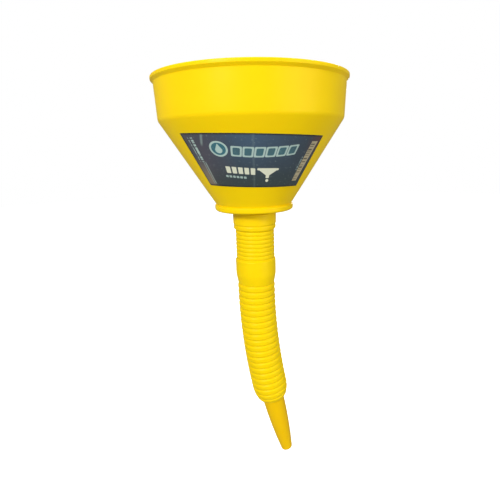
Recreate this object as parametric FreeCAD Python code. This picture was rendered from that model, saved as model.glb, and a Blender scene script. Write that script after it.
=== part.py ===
import FreeCAD, Part
import math
import os

# Pouring funnel with a removable strainer and a turning, flexible spout. Millimetres.
# Origin: centre of the shoulder band at the foot of the cone. +Z runs up the bowl's axis,
# the label faces -Y, and at rest the spout leans towards +X.

# Bowl, one moulding: flanged rim, near-upright wall, cone, shoulder band, floor and neck.
RIM_Z = 104.8
RIM_R = 80.0
RIM_EDGE_R = 0.9
FLANGE_FACE_H = 2.2
FLANGE_SLOPE_H = 2.6
WALL = 1.5
WALL_TOP_R = 77.9
CORNER_Z = 71.8
CORNER_R = 76.7
CORNER_ROUND = 6.0
CONE_FOOT_Z = 3.3
CONE_FOOT_R = 33.5
BAND_R = 34.4
BAND_HALF_H = 2.8
BAND_TOP_STEP = 0.5
BAND_FOOT_ROUND = 1.2
FLOOR = 1.6
SEAT_INNER_R = 27.0
DRAIN_Z = -4.0
NECK_R = 16.6
NECK_BORE_R = 15.0
NECK_END_Z = -17.5
SNAP_BEAD_Z = -14.5
SNAP_BEAD_HALF_H = 1.0
SNAP_BEAD_PROUD = 0.5

# Strainer: a moulded ring with two crossed bars and a lifting loop, and a gauze disc in it.
STRAINER_R = 31.4
STRAINER_SHELF_R = 27.6
STRAINER_REBATE_R = 29.3
STRAINER_SHELF_H = 1.15
STRAINER_RING_H = 1.6
STRAINER_LIFT = 0.05
BAR_W = 2.4
HUB_R = 3.2
LOOP_R = 4.4
LOOP_WIRE_R = 1.1
GAUZE_R = 29.2
GAUZE_THICK = 0.4
FIT_GAP = 0.06
FACE_GAP = 0.02

# Label: a thin wrapped patch on the front of the cone, put on slightly askew.
LABEL_THICK = 0.25
LABEL_LEFT_DEG = -47.3
LABEL_RIGHT_DEG = 53.7
LABEL_TOP_Z = 59.4
LABEL_FOOT_Z = 20.4
LABEL_ASKEW = -0.034

# Spout collar: slips over the neck, snaps over its bead, and ends in one rounded rib.
COLLAR_TOP_Z = -5.7
COLLAR_R = 19.2
COLLAR_FOOT_Z = -16.1
COLLAR_GROOVE_R = 18.45
COLLAR_STEP_Z = -17.8
RIB_R = 18.85

# Upper bellows, cuff and lower bellows, each a thin corrugated or plain tube.
TUBE_WALL = 1.2
UPPER_TOP_Z = -21.3
UPPER_COUNT = 7
UPPER_PITCH = 3.66
UPPER_CREST_R = 17.5
UPPER_VALLEY_R = 16.7
UPPER_GAP = 1.05
CUFF_R = 18.35
CUFF_FOOT_R = 16.7
CUFF_PLAIN_H = 13.0
CUFF_LEAD_H = 1.8
CUFF_FOOT_Z = -71.2
LOWER_COUNT = 21
LOWER_PITCH = 5.9
LOWER_CREST_R = 17.2
LOWER_VALLEY_DEPTH = 1.3
LOWER_GAP = 1.8
REST_BEND_DEG = 12.4
SHOULDER_LENGTH = 17.0

# Nozzle: a slightly bulged taper with a rounded tip and a straight outlet bore.
NOZZLE_LENGTH = 63.5
NOZZLE_ROOT_R = 10.7
NOZZLE_ROOT_BORE_R = 9.1
NOZZLE_MID_R = 9.2
NOZZLE_TIP_R = 6.0
NOZZLE_TIP_TAPER_H = 4.0
NOZZLE_TIP_TAPER_IN = 0.4
NOZZLE_TIP_ROUND = 1.8
OUTLET_R = 3.6
OUTLET_LENGTH = 9.0

AXIS = FreeCAD.Vector(0, 0, 1)
CENTRE = FreeCAD.Vector(0, 0, 0)
FULL_TURN = 360.0
FAR = 200.0


def at(radius, height):
    """A point of a half section, which lies in the XZ plane."""
    return FreeCAD.Vector(radius, 0, height)


def revolved(steps, angle=FULL_TURN):
    """Turns a closed half section about Z. A step is a corner, or (point on arc, arc's end)."""
    edges = []
    here = steps[0]
    for step in steps[1:] + [steps[0]]:
        if isinstance(step, tuple):
            edges.append(Part.Arc(here, step[0], step[1]).toShape())
            here = step[1]
        else:
            edges.append(Part.LineSegment(here, step).toShape())
            here = step
    return Part.Face(Part.Wire(edges)).revolve(CENTRE, AXIS, angle)


def quarter(centre, radius, degrees):
    """The point on a small rounding at this angle from +X."""
    angle = math.radians(degrees)
    return at(centre.x + radius * math.cos(angle), centre.z + radius * math.sin(angle))


def rounding(before, corner, after, radius):
    """Replaces a corner by the arc that is tangent to both of its sides."""
    one = (before - corner).normalize()
    two = (after - corner).normalize()
    half = one.getAngle(two) / 2
    middle = (one + two).normalize()
    centre = corner + middle * (radius / math.sin(half))
    reach = radius / math.tan(half)
    return [corner + one * reach, (centre - middle * radius, corner + two * reach)]


def solid_of(shape):
    """The one solid that a cut or a join leaves."""
    return shape.removeSplitter().Solids[0]


def bowl():
    """Rim, wall, cone, band, floor and neck, in one piece as it is moulded."""
    slope = math.atan2(CORNER_R - CONE_FOOT_R, CORNER_Z - CONE_FOOT_Z)
    cone_wall = WALL / math.cos(slope)
    foot_inner_r = CONE_FOOT_R - cone_wall
    floor_top = -BAND_HALF_H + FLOOR
    flange_foot = RIM_Z - FLANGE_FACE_H
    wall_top = at(WALL_TOP_R, flange_foot - FLANGE_SLOPE_H)
    corner = at(CORNER_R, CORNER_Z)
    cone_foot = at(CONE_FOOT_R, CONE_FOOT_Z)
    inner_corner = at(CORNER_R - WALL, CORNER_Z + WALL * math.tan(slope) / 2)
    inner_foot = at(foot_inner_r, CONE_FOOT_Z)
    rim_inner = at(WALL_TOP_R - WALL, RIM_Z)
    edge_centre = at(RIM_R - RIM_EDGE_R, RIM_Z - RIM_EDGE_R)
    foot_centre = at(BAND_R - BAND_FOOT_ROUND, -BAND_HALF_H + BAND_FOOT_ROUND)
    bead_low = SNAP_BEAD_Z - SNAP_BEAD_HALF_H
    bead_high = SNAP_BEAD_Z + SNAP_BEAD_HALF_H
    steps = [rim_inner, at(edge_centre.x, RIM_Z)]
    steps.append((quarter(edge_centre, RIM_EDGE_R, 45), at(RIM_R, edge_centre.z)))
    steps += [at(RIM_R, flange_foot), wall_top]
    steps += rounding(wall_top, corner, cone_foot, CORNER_ROUND)
    steps += [cone_foot, at(BAND_R, BAND_HALF_H - BAND_TOP_STEP), at(BAND_R, foot_centre.z)]
    steps.append((quarter(foot_centre, BAND_FOOT_ROUND, -45), at(foot_centre.x, -BAND_HALF_H)))
    steps += [at(SEAT_INNER_R, -BAND_HALF_H), at(NECK_R, DRAIN_Z - FLOOR)]
    steps += [at(NECK_R, bead_high)]
    steps.append((at(NECK_R + SNAP_BEAD_PROUD, SNAP_BEAD_Z), at(NECK_R, bead_low)))
    steps += [at(NECK_R, NECK_END_Z), at(NECK_BORE_R, NECK_END_Z), at(NECK_BORE_R, DRAIN_Z)]
    steps += [at(SEAT_INNER_R, floor_top), at(foot_inner_r, floor_top), inner_foot]
    steps += rounding(inner_foot, inner_corner, rim_inner, CORNER_ROUND)
    return revolved(steps)


def label():
    """A patch of a slightly larger cone, between two upright planes and two tilted ones."""
    slope = (CORNER_R - CONE_FOOT_R) / (CORNER_Z - CONE_FOOT_Z)
    spare = 6.0
    low = LABEL_FOOT_Z - spare
    high = LABEL_TOP_Z + spare
    inner = FACE_GAP * math.hypot(1, slope)
    outer = (FACE_GAP + LABEL_THICK) * math.hypot(1, slope)
    low_r = CONE_FOOT_R + slope * (low - CONE_FOOT_Z)
    high_r = CONE_FOOT_R + slope * (high - CONE_FOOT_Z)
    section = [at(low_r + inner, low), at(low_r + outer, low)]
    section += [at(high_r + outer, high), at(high_r + inner, high)]
    patch = revolved(section, LABEL_RIGHT_DEG - LABEL_LEFT_DEG)
    patch.rotate(CENTRE, AXIS, LABEL_LEFT_DEG - 90)
    band = Part.makeBox(FAR, FAR, LABEL_TOP_Z - LABEL_FOOT_Z)
    band.translate(FreeCAD.Vector(-FAR / 2, -FAR, LABEL_FOOT_Z))
    tilt = math.degrees(math.atan(-LABEL_ASKEW))
    band.rotate(FreeCAD.Vector(0, 0, LABEL_FOOT_Z), FreeCAD.Vector(0, 1, 0), tilt)
    return solid_of(patch.common(band))


def strainer_frame():
    """Ring with a shelf for the gauze, two crossed bars, and an upright loop on their hub."""
    foot = -BAND_HALF_H + FLOOR + STRAINER_LIFT
    shelf = foot + STRAINER_SHELF_H
    top = shelf + STRAINER_RING_H
    ring = revolved([at(STRAINER_SHELF_R, foot), at(STRAINER_R, foot), at(STRAINER_R, top),
                     at(STRAINER_REBATE_R, top), at(STRAINER_REBATE_R, shelf),
                     at(STRAINER_SHELF_R, shelf)])
    parts = []
    length = 2 * STRAINER_SHELF_R + 1
    for turn in (45, 135):
        bar = Part.makeBox(length, BAR_W, STRAINER_SHELF_H)
        bar.translate(FreeCAD.Vector(-length / 2, -BAR_W / 2, foot))
        bar.rotate(CENTRE, AXIS, turn)
        parts.append(bar)
    parts.append(Part.makeCylinder(HUB_R, top - foot, at(0, foot)))
    loop = Part.makeTorus(LOOP_R, LOOP_WIRE_R, at(0, top + LOOP_R - LOOP_WIRE_R / 2),
                          FreeCAD.Vector(0, 1, 0))
    above = Part.makeBox(FAR, FAR, FAR)
    above.translate(FreeCAD.Vector(-FAR / 2, -FAR / 2, foot))
    parts.append(loop.common(above))
    return solid_of(ring.multiFuse(parts))


def strainer_gauze():
    """A closed disc where the woven gauze lies, on the shelf and round the hub."""
    foot = -BAND_HALF_H + FLOOR + STRAINER_LIFT + STRAINER_SHELF_H + FACE_GAP
    hole = HUB_R + FIT_GAP
    return revolved([at(hole, foot), at(GAUZE_R, foot), at(GAUZE_R, foot + GAUZE_THICK),
                     at(hole, foot + GAUZE_THICK)])


def spout_collar():
    """Socket that turns on the neck, grooved for its bead, with a rounded rib below."""
    bore = NECK_R + FIT_GAP
    groove_low = SNAP_BEAD_Z - SNAP_BEAD_HALF_H - FIT_GAP
    groove_high = SNAP_BEAD_Z + SNAP_BEAD_HALF_H + FIT_GAP
    groove_r = bore + SNAP_BEAD_PROUD + FIT_GAP
    rib_foot = UPPER_TOP_Z + UPPER_GAP / 2
    through = UPPER_VALLEY_R - TUBE_WALL
    steps = [at(bore, COLLAR_TOP_Z), at(COLLAR_R, COLLAR_TOP_Z), at(COLLAR_R, COLLAR_FOOT_Z + 1)]
    steps.append(at(COLLAR_GROOVE_R, COLLAR_FOOT_Z))
    steps.append((at(RIB_R, (COLLAR_FOOT_Z + rib_foot) / 2), at(UPPER_VALLEY_R, rib_foot)))
    steps += [at(through, rib_foot), at(through, COLLAR_STEP_Z), at(bore, COLLAR_STEP_Z)]
    steps.append(at(bore, groove_low))
    steps.append((at(groove_r, SNAP_BEAD_Z), at(bore, groove_high)))
    return revolved(steps)


def hoop(outer, inner):
    """One convolution: (radius, height) at its top, middle and foot, outside and inside."""
    outside = [at(*place) for place in outer]
    inside = [at(*place) for place in inner]
    steps = [outside[0], (outside[1], outside[2])]
    steps += [inside[2], (inside[1], inside[0])]
    return revolved(steps)


def upper_bellow(number):
    """A shallow convolution of the short upper bellows."""
    middle = UPPER_TOP_Z - (number - 0.5) * UPPER_PITCH
    half = (UPPER_PITCH - UPPER_GAP) / 2
    heights = [middle + half, middle, middle - half]
    radii = [UPPER_VALLEY_R, UPPER_CREST_R, UPPER_VALLEY_R]
    outer = list(zip(radii, heights))
    inner = [(radius - TUBE_WALL, height) for radius, height in outer]
    return hoop(outer, inner)


def cuff():
    """Plain grip between the two bellows, tapering at its foot."""
    top = UPPER_TOP_Z - UPPER_COUNT * UPPER_PITCH - UPPER_GAP / 2
    foot = CUFF_FOOT_Z + LOWER_GAP / 2
    plain_foot = top - CUFF_LEAD_H - CUFF_PLAIN_H
    bend = at(CUFF_R, plain_foot)
    end = at(CUFF_FOOT_R, foot)
    lead = at(CUFF_R, top - CUFF_LEAD_H)
    shoulder = at(CUFF_R - 0.2, top - CUFF_LEAD_H / 3)
    steps = [at(UPPER_VALLEY_R, top), (shoulder, lead)]
    steps += rounding(lead, bend, end, 20.0)
    steps += [end, at(CUFF_FOOT_R - TUBE_WALL, foot), at(UPPER_VALLEY_R - TUBE_WALL, top)]
    return revolved(steps)


def outer_radius(along):
    """Crest radius of the lower bellows at this length: even, then rounded in to the nozzle."""
    start = LOWER_COUNT * LOWER_PITCH - SHOULDER_LENGTH
    share = max(0.0, along - start) / SHOULDER_LENGTH
    drop = LOWER_CREST_R - NOZZLE_ROOT_R
    return NOZZLE_ROOT_R + drop * math.sqrt(max(0.0, 1 - share * share))


def inner_radius(along):
    """Bore radius of the lower bellows, a wall's thickness inside the shoulder."""
    start = LOWER_COUNT * LOWER_PITCH - SHOULDER_LENGTH
    share = max(0.0, along - start) / (SHOULDER_LENGTH - TUBE_WALL)
    drop = LOWER_CREST_R - TUBE_WALL - NOZZLE_ROOT_BORE_R
    return NOZZLE_ROOT_BORE_R + drop * math.sqrt(max(0.0, 1 - share * share))


def along_spout(shape, along):
    """Carries a shape made about the Z axis to this length of the bent lower spout."""
    bend = math.radians(REST_BEND_DEG)
    radius = LOWER_COUNT * LOWER_PITCH / bend
    angle = along / radius
    across = radius * (1 - math.cos(angle))
    down = CUFF_FOOT_Z - radius * math.sin(angle)
    shape.rotate(CENTRE, FreeCAD.Vector(0, 1, 0), -math.degrees(angle))
    shape.translate(FreeCAD.Vector(across, 0, down))
    return shape


def lower_bellow(number):
    """A convolution of the lower bellows, placed on the bend by its middle, or by its end."""
    last = number == LOWER_COUNT
    middle = (number - 0.5) * LOWER_PITCH
    end = number * LOWER_PITCH - FACE_GAP
    top = middle - (LOWER_PITCH - LOWER_GAP) / 2
    foot = end if last else middle + (LOWER_PITCH - LOWER_GAP) / 2
    held = end if last else middle
    outer = []
    inner = []
    for along, depth in ((top, 1), (middle, 0), (foot, 0 if last else 1)):
        groove = depth * LOWER_VALLEY_DEPTH
        outer.append((outer_radius(along) - groove, held - along))
        inner.append((inner_radius(along) - groove, held - along))
    return along_spout(hoop(outer, inner), held)


def nozzle():
    """Pouring end, hanging from its root, with the outlet bore along its axis."""
    tip = -NOZZLE_LENGTH
    waist = at(NOZZLE_TIP_R, tip + NOZZLE_TIP_TAPER_H)
    corner = at(NOZZLE_TIP_R - NOZZLE_TIP_TAPER_IN, tip)
    mouth = at(OUTLET_R, tip)
    steps = [at(NOZZLE_ROOT_R, 0), (at(NOZZLE_MID_R, tip / 2), waist)]
    steps += rounding(waist, corner, mouth, NOZZLE_TIP_ROUND)
    steps += [mouth, at(OUTLET_R, tip + OUTLET_LENGTH), at(NOZZLE_ROOT_BORE_R, 0)]
    return along_spout(revolved(steps), LOWER_COUNT * LOWER_PITCH)


def write(name, shape):
    """Saves one node's solid, after making sure that it is one valid solid."""
    if not shape.isValid() or len(shape.Solids) != 1:
        raise ValueError(name + " is not one valid solid")
    shape.Solids[0].exportStep("parts/" + name + ".step")


os.makedirs("parts", exist_ok=True)
write("bowl", bowl())
write("label", label())
write("strainer_frame", strainer_frame())
write("strainer_gauze", strainer_gauze())
write("spout_collar", spout_collar())
for count in range(1, UPPER_COUNT + 1):
    write("upper_bellow_%02d" % count, upper_bellow(count))
write("cuff", cuff())
for count in range(1, LOWER_COUNT + 1):
    write("lower_bellow_%02d" % count, lower_bellow(count))
write("nozzle", nozzle())
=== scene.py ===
"""Looks of a fuel funnel with a lift-out strainer and a turning, bendable spout.

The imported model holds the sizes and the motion. Here every one of its nodes gets the mesh that
is seen in its place, in the same frame, and a finish: moulded polyethylene, printed film or
woven wire. Sizes are in millimetres until a mesh is made, and the frame is in metres.
"""

import logging
import math
from collections.abc import Callable, Iterable, Mapping, Sequence
from dataclasses import dataclass, field
from enum import Enum
from typing import Any, Union

import bpy
import numpy as np
from mathutils import Matrix, Vector


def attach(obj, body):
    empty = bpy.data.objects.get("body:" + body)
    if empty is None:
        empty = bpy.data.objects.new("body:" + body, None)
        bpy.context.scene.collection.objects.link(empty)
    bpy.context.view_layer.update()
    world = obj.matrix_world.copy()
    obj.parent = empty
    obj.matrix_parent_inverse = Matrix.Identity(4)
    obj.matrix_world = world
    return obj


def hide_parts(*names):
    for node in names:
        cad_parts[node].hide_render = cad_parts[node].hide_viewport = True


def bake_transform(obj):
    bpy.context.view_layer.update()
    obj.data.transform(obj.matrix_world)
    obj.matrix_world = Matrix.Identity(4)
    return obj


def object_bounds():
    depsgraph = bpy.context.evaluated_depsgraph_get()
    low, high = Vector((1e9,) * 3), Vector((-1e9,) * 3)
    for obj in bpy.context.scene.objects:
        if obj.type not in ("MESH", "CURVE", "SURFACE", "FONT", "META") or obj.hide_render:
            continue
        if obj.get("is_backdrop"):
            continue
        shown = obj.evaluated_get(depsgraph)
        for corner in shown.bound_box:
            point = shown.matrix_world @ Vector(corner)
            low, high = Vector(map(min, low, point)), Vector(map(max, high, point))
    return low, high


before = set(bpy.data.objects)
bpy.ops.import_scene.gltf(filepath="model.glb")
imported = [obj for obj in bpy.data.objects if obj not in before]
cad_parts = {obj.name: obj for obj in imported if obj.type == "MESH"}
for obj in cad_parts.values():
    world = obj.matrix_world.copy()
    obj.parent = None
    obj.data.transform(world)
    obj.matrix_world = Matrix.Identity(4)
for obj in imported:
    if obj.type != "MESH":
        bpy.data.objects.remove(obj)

MM = 0.001
FRONT = -math.pi / 2
FULL_TURN = 2 * math.pi
LABEL_WIDE = 99.0
LABEL_HIGH = 46.0

Term = Union["Wire", float]
Colour = tuple[float, float, float, float]
Corner = tuple[float, float, float]
Station = Callable[[np.ndarray], tuple[np.ndarray, np.ndarray]]

log = logging.getLogger("funnel")


def paint(red: int, green: int, blue: int) -> Colour:
    """A screen colour as the linear colour that a socket takes.

    Args:
        red: Screen red, 0 to 255.
        green: Screen green, 0 to 255.
        blue: Screen blue, 0 to 255.

    Returns:
        Linear red, green, blue and full alpha.
    """
    linear = [
        share / 12.92 if share <= 0.04045 else ((share + 0.055) / 1.055) ** 2.4
        for share in (red / 255, green / 255, blue / 255)
    ]
    return (linear[0], linear[1], linear[2], 1.0)


# ---------------------------------------------------------------------------------- shaders


class Wire:
    """A socket that takes part in written arithmetic, each operator adding a Math node."""

    def __init__(self, recipe: "Recipe", socket: bpy.types.NodeSocket | None) -> None:
        """Holds an output socket.

        Args:
            recipe: The node tree that the socket is in.
            socket: The output socket, or nothing for a node that has none.
        """
        self.recipe = recipe
        self.socket = socket

    def maths(self, operation: str, *terms: Term) -> "Wire":
        """Adds one Math node.

        Args:
            operation: The node's operation.
            terms: Its inputs in order, sockets or numbers.

        Returns:
            The node's result.
        """
        inputs = dict(enumerate(terms))
        return self.recipe.add("ShaderNodeMath", {"operation": operation}, inputs)

    def __add__(self, other: Term) -> "Wire":
        """This plus another."""
        return self.maths("ADD", self, other)

    def __radd__(self, other: Term) -> "Wire":
        """Another plus this."""
        return self.maths("ADD", other, self)

    def __sub__(self, other: Term) -> "Wire":
        """This less another."""
        return self.maths("SUBTRACT", self, other)

    def __rsub__(self, other: Term) -> "Wire":
        """Another less this."""
        return self.maths("SUBTRACT", other, self)

    def __mul__(self, other: Term) -> "Wire":
        """This times another."""
        return self.maths("MULTIPLY", self, other)

    def __rmul__(self, other: Term) -> "Wire":
        """Another times this."""
        return self.maths("MULTIPLY", other, self)

    def __pow__(self, other: Term) -> "Wire":
        """This to a power."""
        return self.maths("POWER", self, other)

    def __mod__(self, other: Term) -> "Wire":
        """What is left of this over another, never below zero."""
        return self.maths("FLOORED_MODULO", self, other)

    def __abs__(self) -> "Wire":
        """This without its sign."""
        return self.maths("ABSOLUTE", self)

    def __gt__(self, other: Term) -> "Wire":
        """1 where this is the greater, and 0 elsewhere."""
        return self.maths("GREATER_THAN", self, other)

    def __lt__(self, other: Term) -> "Wire":
        """1 where this is the lesser, and 0 elsewhere."""
        return self.maths("LESS_THAN", self, other)

    def most(self, other: Term) -> "Wire":
        """The greater of this and another."""
        return self.maths("MAXIMUM", self, other)

    def least(self, other: Term) -> "Wire":
        """The lesser of this and another."""
        return self.maths("MINIMUM", self, other)


class Recipe:
    """The node tree of one finish, and the one way of adding a node to it."""

    def __init__(self, tree: bpy.types.NodeTree) -> None:
        """Empties a node tree and takes it over.

        Args:
            tree: A material's or the world's node tree.
        """
        self.tree = tree
        self.tree.nodes.clear()

    def add(
        self,
        kind: str,
        settings: Mapping[str, Any] | None = None,
        sockets: Mapping[int | str, Any] | None = None,
        out: int | str = 0,
    ) -> Wire:
        """Adds a node.

        Args:
            kind: The node's type.
            settings: Its own settings, set first.
            sockets: What each input socket, by name or place, is linked to or holds.
            out: The output socket wanted, by name or place.

        Returns:
            That output.
        """
        node = self.tree.nodes.new(kind)
        for name, value in (settings or {}).items():
            setattr(node, name, value)
        for name, value in (sockets or {}).items():
            if isinstance(value, Wire):
                self.tree.links.new(value.socket, node.inputs[name])
            else:
                node.inputs[name].default_value = value
        return Wire(self, node.outputs[out] if len(node.outputs) else None)

    def blend(self, share: Term, first: Wire | Colour, second: Wire | Colour) -> Wire:
        """Mixes two colours.

        Args:
            share: How much of the second, 0 to 1.
            first: The colour at 0.
            second: The colour at 1.

        Returns:
            The mixed colour.
        """
        settings = {"data_type": "RGBA", "clamp_factor": True}
        return self.add("ShaderNodeMix", settings, {0: share, 6: first, 7: second}, out=2)

    def ramp(self, value: Wire, low: float, high: float) -> Wire:
        """Carries a value from low..high to 0..1, held at both ends.

        Args:
            value: The value.
            low: Where it gives 0.
            high: Where it gives 1.

        Returns:
            The share.
        """
        inputs = {"Value": value, "From Min": low, "From Max": high}
        return self.add("ShaderNodeMapRange", {"clamp": True}, inputs)

    def place(self, stretch: Sequence[float] = (1.0, 1.0, 1.0)) -> Wire:
        """Position in the frame, in metres.

        Args:
            stretch: How much each axis is scaled.

        Returns:
            The position, scaled.
        """
        spot = self.add("ShaderNodeTexCoord", out="Object")
        return self.add("ShaderNodeMapping", None, {"Vector": spot, "Scale": tuple(stretch)})

    def cloud(self, place: Wire, size: float, detail: float = 3.0, rough: float = 0.5) -> Wire:
        """Even noise.

        Args:
            place: Where, in metres.
            size: The width of its patches, in metres.
            detail: How many finer layers it has.
            rough: How strong those are.

        Returns:
            The noise, about 0.5.
        """
        inputs = {"Vector": place, "Scale": 1 / size, "Detail": detail, "Roughness": rough}
        return self.add("ShaderNodeTexNoise", None, inputs)

    def bump(self, height: Wire, depth: float, strength: float, under: Wire | None = None) -> Wire:
        """Turns a height into a bumped normal.

        Args:
            height: The height, 0 to 1.
            depth: What 1 stands for, in metres.
            strength: How much of it shows.
            under: A normal that it is added to.

        Returns:
            The normal.
        """
        inputs: dict[int | str, Any] = {"Height": height, "Distance": depth, "Strength": strength}
        if under is not None:
            inputs["Normal"] = under
        return self.add("ShaderNodeBump", None, inputs)


def finished(name: str, cook: Callable[[Recipe], Wire]) -> bpy.types.Material:
    """Makes a material.

    Args:
        name: The material's name.
        cook: Adds the finish's nodes and returns its shader.

    Returns:
        The material.
    """
    material = bpy.data.materials.new(name)
    material.use_nodes = True
    recipe = Recipe(material.node_tree)
    recipe.add("ShaderNodeOutputMaterial", None, {"Surface": cook(recipe)})
    return material


@dataclass(frozen=True)
class MouldedPlastic:
    """Polyethylene as it comes out of a mould: waxy, faintly cloudy, softly glossy.

    The sizes of its patches, specks, scratches and so on are in metres.
    """

    name: str
    body: Colour
    deep: Colour
    roughness: float = 0.36
    gloss: float = 0.11
    clouding: float = 0.35
    translucent: float = 0.10
    grain: float = 0.10
    scuffs: float = 0.30
    patch: float = 0.045
    flow: float = 0.006
    speck: float = 0.0012
    scratch: float = 0.0016
    wear: float = 0.03
    peel: float = 0.0045
    pore: float = 0.0007

    def cook(self, recipe: Recipe) -> Wire:
        """Adds the plastic's nodes.

        Args:
            recipe: The node tree.

        Returns:
            The shader.
        """
        spot = recipe.place()
        patches = recipe.cloud(spot, self.patch, 4.0, 0.55)
        flow = recipe.cloud(recipe.place((1.0, 1.0, 0.12)), self.flow, 3.0)
        specks = recipe.cloud(spot, self.speck, 2.0)
        shade = recipe.ramp(patches, 0.30, 0.75) * self.clouding + flow * 0.16
        colour = recipe.blend(shade, self.body, self.deep)
        streaks = recipe.cloud(recipe.place((1.0, 1.0, 0.05)), self.scratch, 4.0, 0.75)
        where = recipe.ramp(recipe.cloud(spot, self.wear, 2.0), 0.5, 0.62)
        worn = recipe.ramp(streaks, 0.68, 0.74) * where * self.scuffs
        dull = patches * 0.12 + specks * 0.06 + worn * 0.25 + (self.roughness - 0.09)
        peel = recipe.bump(recipe.cloud(spot, self.peel, 2.0), 0.00025, 0.18)
        pores = recipe.cloud(spot, self.pore, 3.0, 0.6)
        grain = recipe.bump(pores, 0.0001, self.grain, peel)
        inputs = {
            "Base Color": colour,
            "Roughness": dull,
            "Normal": recipe.bump(worn, 0.00005, 0.2, grain),
            "IOR": 1.5,
            "Specular IOR Level": self.gloss,
            "Subsurface Weight": self.translucent,
            "Subsurface Radius": (1.0, 0.62, 0.1),
            "Subsurface Scale": 0.0025,
        }
        return recipe.add("ShaderNodeBsdfPrincipled", None, inputs)


@dataclass(frozen=True)
class Mark:
    """One printed mark: a rounded block, its place and size in millimetres on the label."""

    x: float
    y: float
    wide: float
    high: float
    corner: float


@dataclass(frozen=True)
class Row:
    """A row of equal marks: its ends and pitch, and one mark placed from a pitch's start."""

    start: float
    end: float
    pitch: float
    mark: Mark


@dataclass(frozen=True)
class Spot:
    """Where a point lies on the label, and how strong the ink is there.

    x and y are in millimetres from the label's middle, and up is a share of its height.
    """

    x: Wire
    y: Wire
    up: Wire
    mottle: Wire


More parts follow.
